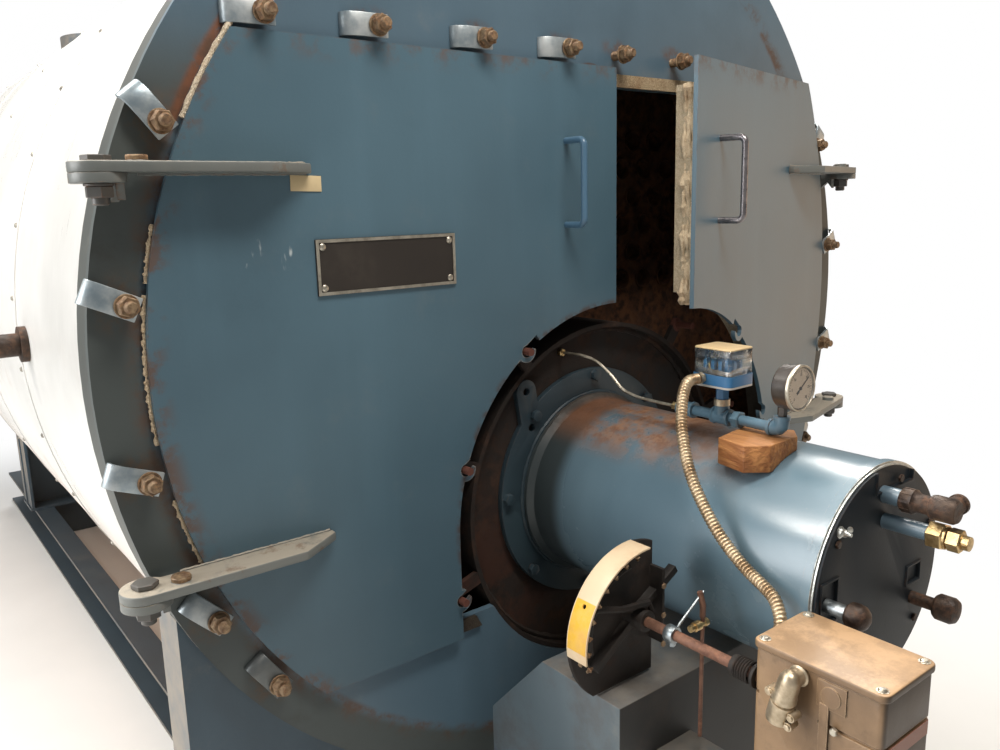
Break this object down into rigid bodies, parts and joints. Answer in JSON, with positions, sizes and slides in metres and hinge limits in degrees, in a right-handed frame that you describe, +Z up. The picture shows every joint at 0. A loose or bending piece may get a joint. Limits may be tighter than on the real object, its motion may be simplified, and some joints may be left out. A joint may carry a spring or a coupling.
{
  "type": "fire-tube boiler",
  "caption": "Horizontal fire-tube boiler with swinging smokebox doors, a forced-draught burner with its linkage and gauges, a metal jacket and a steel base.",
  "frame": {"origin": "on the floor under the middle of the front plate, on the underside of the front cross beam", "axes": "+Y along the boiler from its front plate to its rear, +Z up, +X to the right as seen from the front"},
  "size_m": [2.059, 4.85, 2.4495],
  "materials": {
    "blue_paint": "worn gloss enamel",
    "dark_paint": "gloss enamel",
    "rusty_steel": "rusty mill scale",
    "black_paint": "satin enamel",
    "jacket_metal": "mill finish sheet",
    "bare_steel": "dull",
    "rope_lining": "woven rope and board",
    "cream_plastic": "satin",
    "grey_casting": "dusty painted casting",
    "wood_block": "sawn",
    "brass_fittings": "dull",
    "blue_plastic": "gloss",
    "clear_plastic": "gloss"
  },
  "bodies": {
    "boiler": {"front_plate": "blue_paint", "front_rim": "blue_paint", "opening_gasket": "rope_lining", "smokebox_barrel": "rusty_steel", "boiler_shell": "rusty_steel", "front_tube_sheet": "rusty_steel", "rear_tube_sheet": "rusty_steel", "fire_tubes": "rusty_steel", "furnace_drum": "black_paint", "furnace_front": "rusty_steel", "shell_jacket": "jacket_metal", "jacket_bands": "jacket_metal", "rear_cover": "blue_paint", "rear_box_barrel": "rusty_steel", "flue_outlet": "blue_paint", "steam_outlet": "bare_steel", "valve_outlets": "bare_steel", "side_nozzle": "rusty_steel", "front_saddle": "blue_paint", "rear_saddle": "blue_paint", "skid_rails": "blue_paint", "skid_crossbars": "blue_paint", "left_hinge_brackets": "blue_paint", "right_hinge_brackets": "blue_paint", "left_hinge_pins": "bare_steel", "right_hinge_pins": "bare_steel", "top_studs": "rusty_steel", "top_clamps": "blue_paint", "side_studs": "rusty_steel", "side_clamps": "blue_paint", "burner_flange": "blue_paint", "burner_housing": "blue_paint", "burner_end_plate": "dark_paint", "burner_fittings": "brass_fittings", "air_box": "blue_paint", "cam_bracket": "blue_paint", "cam_dish": "black_paint", "cam_band": "cream_plastic", "cam_shaft": "rusty_steel", "drive_motor": "grey_casting", "motor_lid": "grey_casting", "motor_bracket": "blue_paint", "conduit_connector": "bare_steel", "pipe_rest": "wood_block", "gauge_manifold": "blue_paint", "pressure_gauge": "black_paint", "switch_base": "blue_plastic", "switch_cover": "clear_plastic", "sensing_tube": "bare_steel", "flex_conduit": "bare_steel"},
    "left_door": {"left_door_plate": "blue_paint", "left_door_lining": "rope_lining", "left_door_straps": "blue_paint", "left_door_handle": "blue_paint", "name_plate": "black_paint"},
    "right_door": {"right_door_plate": "blue_paint", "right_door_lining": "rope_lining", "right_door_straps": "blue_paint", "right_door_handle": "blue_paint"}
  },
  "joints": [
    {"name": "left_door_hinge", "type": "hinge", "parent": "boiler", "child": "left_door", "pos_m": [-0.966, -0.042, 1.3], "axis": [0, 0, -1], "range_deg": [0, 100]},
    {"name": "right_door_hinge", "type": "hinge", "parent": "boiler", "child": "right_door", "pos_m": [0.966, -0.042, 1.3], "axis": [0, 0, 1], "range_deg": [-13.5, 86.5]}
  ]
}
